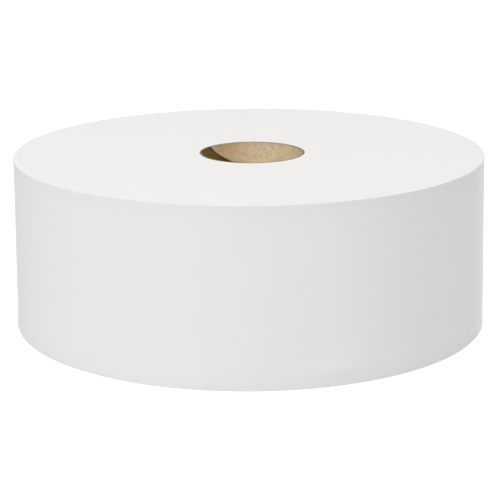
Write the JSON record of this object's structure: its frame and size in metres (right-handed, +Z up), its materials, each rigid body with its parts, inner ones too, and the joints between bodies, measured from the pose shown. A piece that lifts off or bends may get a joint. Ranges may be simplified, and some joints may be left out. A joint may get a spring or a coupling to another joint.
{
  "type": "toilet paper roll",
  "caption": "Jumbo toilet paper roll: a wide tissue web wound on an open cardboard core, standing on its cut end.",
  "frame": {"origin": "centre of the lower cut end, by its outside", "axes": "+Z up through the middle of the roll; +Y points away from the camera of the picture, and the tail of the sheet ends on that side"},
  "size_m": [0.2599, 0.2598, 0.095],
  "materials": {
    "tissue": "matt two-ply tissue, lightly creped",
    "core_board": "matt brown recycled board"
  },
  "bodies": {
    "root": {"wound_paper": "tissue", "cardboard_core": "core_board"}
  },
  "joints": []
}
